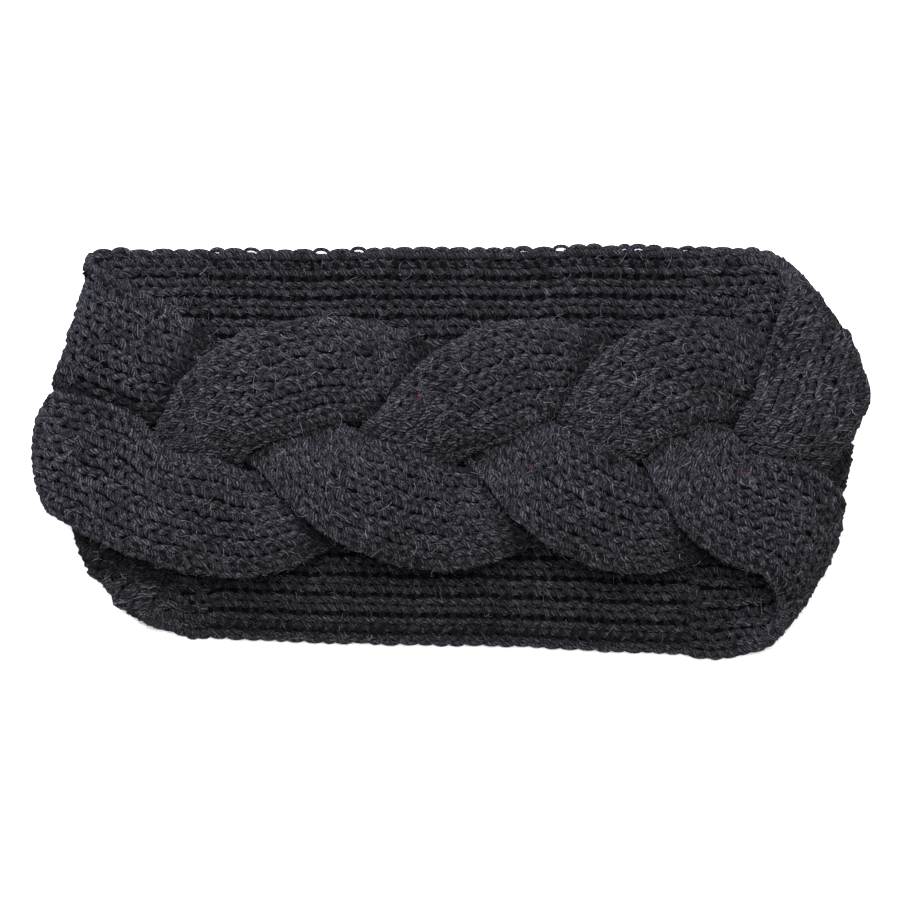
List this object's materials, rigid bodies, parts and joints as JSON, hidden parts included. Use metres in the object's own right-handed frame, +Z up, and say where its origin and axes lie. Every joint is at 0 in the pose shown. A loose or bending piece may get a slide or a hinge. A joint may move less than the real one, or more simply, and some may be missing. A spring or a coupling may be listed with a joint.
{
  "type": "ear warmer headband",
  "caption": "Plaited chunky-knit ear warmer headband, lying folded flat with its plait uppermost and its ribbed back band underneath.",
  "frame": {"origin": "on the surface that the headband lies on, in the middle of the back band", "axes": "+X along the folded headband, +Y across it towards the band's upper edge in the picture, +Z up from the surface through the plait"},
  "size_m": [0.2338, 0.1142, 0.0317],
  "materials": {
    "band_yarn": "matt knitted wool, charcoal",
    "strand_yarn": "matt knitted wool, charcoal"
  },
  "bodies": {
    "root": {"back_band": "band_yarn", "strand_upper": "strand_yarn", "strand_middle": "strand_yarn", "strand_lower": "strand_yarn"}
  },
  "joints": []
}
